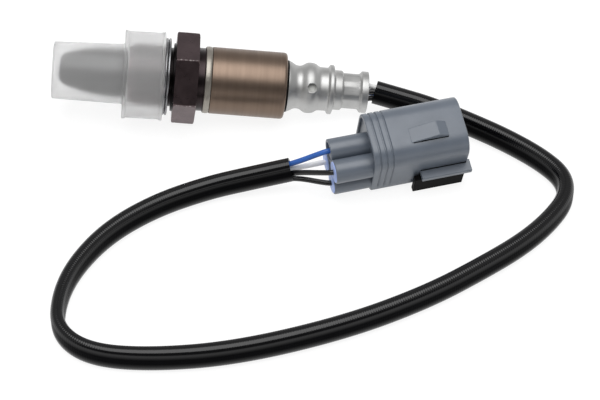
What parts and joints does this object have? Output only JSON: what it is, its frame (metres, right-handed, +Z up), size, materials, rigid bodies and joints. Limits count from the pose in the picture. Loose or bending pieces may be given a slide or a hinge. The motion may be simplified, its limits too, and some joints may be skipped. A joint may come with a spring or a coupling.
{
  "type": "oxygen sensor",
  "caption": "Heated oxygen sensor in a stepped transit cap, with hexagon, casing, vented upper cap, flat ribbed lead and a four-way plug, laid down with its lead looped.",
  "frame": {"origin": "on the table under the middle of the sensor's own box (cap to cable end), lead and plug left out", "axes": "+X from the transit cap towards the cable end, +Y away from the viewer, +Z up; the sensor lies tilted with its cap end raised"},
  "size_m": [0.1421, 0.1063, 0.0261],
  "materials": {
    "frosted_plastic": "frosted, translucent",
    "protector_steel": "drawn, satin",
    "shell_steel": "dark plated, satin",
    "gasket_steel": "bright, folded",
    "ring_steel": "bright, turned",
    "casing_steel": "bronze-brown, satin",
    "cap_steel": "bright, drawn",
    "ceramic": "fired ceramic, matt",
    "talc": "pressed powder",
    "filter_fluoropolymer": "porous, white",
    "contact_metal": "plated",
    "black_rubber": "matt",
    "wire_blue": "smooth insulation",
    "wire_white": "smooth insulation",
    "wire_black": "smooth insulation",
    "sleeve_plastic": "ribbed, semi-gloss",
    "seal_rubber": "silicone, satin",
    "housing_plastic": "moulded, fine grain",
    "clip_plastic": "moulded"
  },
  "bodies": {
    "root": {"transit_cap": "frosted_plastic", "outer_protector": "protector_steel", "inner_protector": "protector_steel", "sensing_element": "ceramic", "heater_rod": "ceramic", "sensor_shell": "shell_steel", "gasket_ring": "gasket_steel", "talc_packing": "talc", "ceramic_bushing": "ceramic", "lock_ring": "ring_steel", "weld_ring": "ring_steel", "outer_casing": "casing_steel", "vented_cap": "cap_steel", "vent_filter": "filter_fluoropolymer", "inner_cover": "cap_steel", "contact_holder": "ceramic", "grommet": "black_rubber", "harness_sleeve": "sleeve_plastic", "plug_housing": "housing_plastic", "pin_retainer": "clip_plastic", "mounting_clip": "clip_plastic", "lead_wire_blue": "wire_blue", "lead_wire_white": "wire_white", "lead_wire_black_upper": "wire_black", "lead_wire_black_lower": "wire_black", "contact_blue": "contact_metal", "seal_blue": "seal_rubber", "pin_blue": "contact_metal", "contact_white": "contact_metal", "seal_white": "seal_rubber", "pin_white": "contact_metal", "contact_black_upper": "contact_metal", "seal_black_upper": "seal_rubber", "pin_black_upper": "contact_metal", "contact_black_lower": "contact_metal", "seal_black_lower": "seal_rubber", "pin_black_lower": "contact_metal"}
  },
  "joints": []
}
